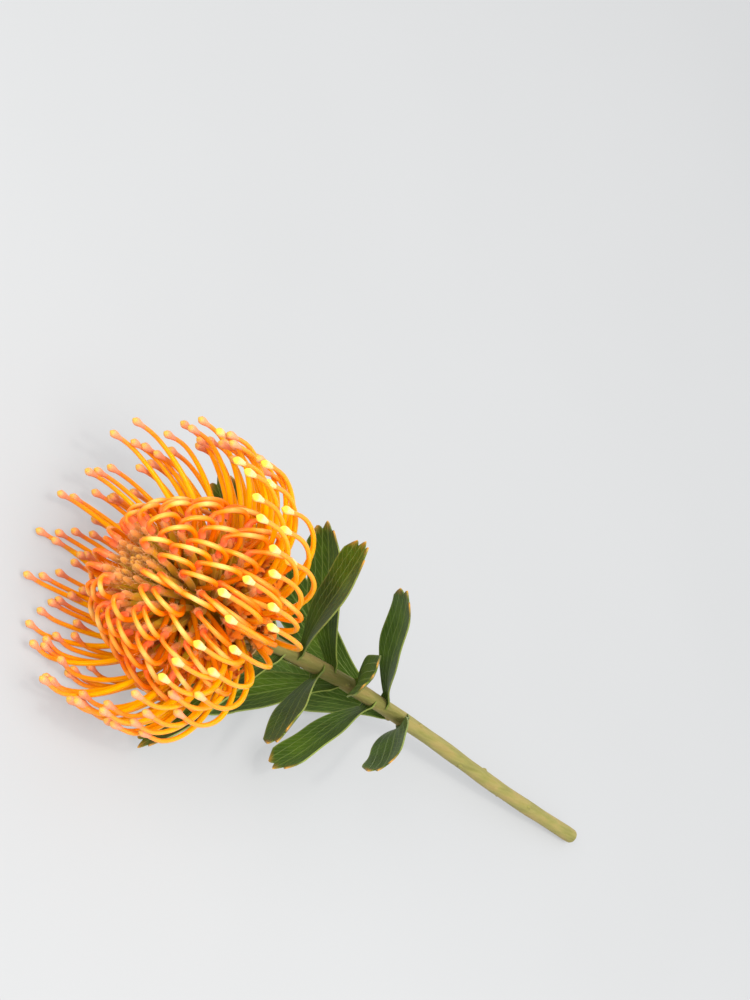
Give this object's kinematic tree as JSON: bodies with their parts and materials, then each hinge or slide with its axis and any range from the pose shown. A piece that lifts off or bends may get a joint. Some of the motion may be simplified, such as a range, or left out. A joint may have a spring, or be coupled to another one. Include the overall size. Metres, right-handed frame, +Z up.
{
  "type": "pincushion protea flower",
  "caption": "Cut pincushion protea lying down: a domed head of looped and free styles on a leafy woody stem.",
  "frame": {"origin": "on the surface that the flower lies on, under the middle of its bounding box", "axes": "+Z up, +X along the flower towards the cut end of the stem, so the bloom faces -X"},
  "size_m": [0.325, 0.1241, 0.1113],
  "materials": {
    "style": "gloss",
    "perianth": "satin",
    "limb_wool": "matte",
    "presenter": "satin",
    "bract": "matte",
    "stem_bark": "matte",
    "leaf": "satin"
  },
  "bodies": {
    "root": {"flower_head": "style", "involucral_bracts": "bract", "stem": "stem_bark", "leaf_01": "leaf", "leaf_02": "leaf", "leaf_03": "leaf", "leaf_04": "leaf", "leaf_05": "leaf", "leaf_06": "leaf", "leaf_07": "leaf", "leaf_08": "leaf", "leaf_09": "leaf", "leaf_10": "leaf", "leaf_11": "leaf", "leaf_12": "leaf", "leaf_13": "leaf"}
  },
  "joints": []
}
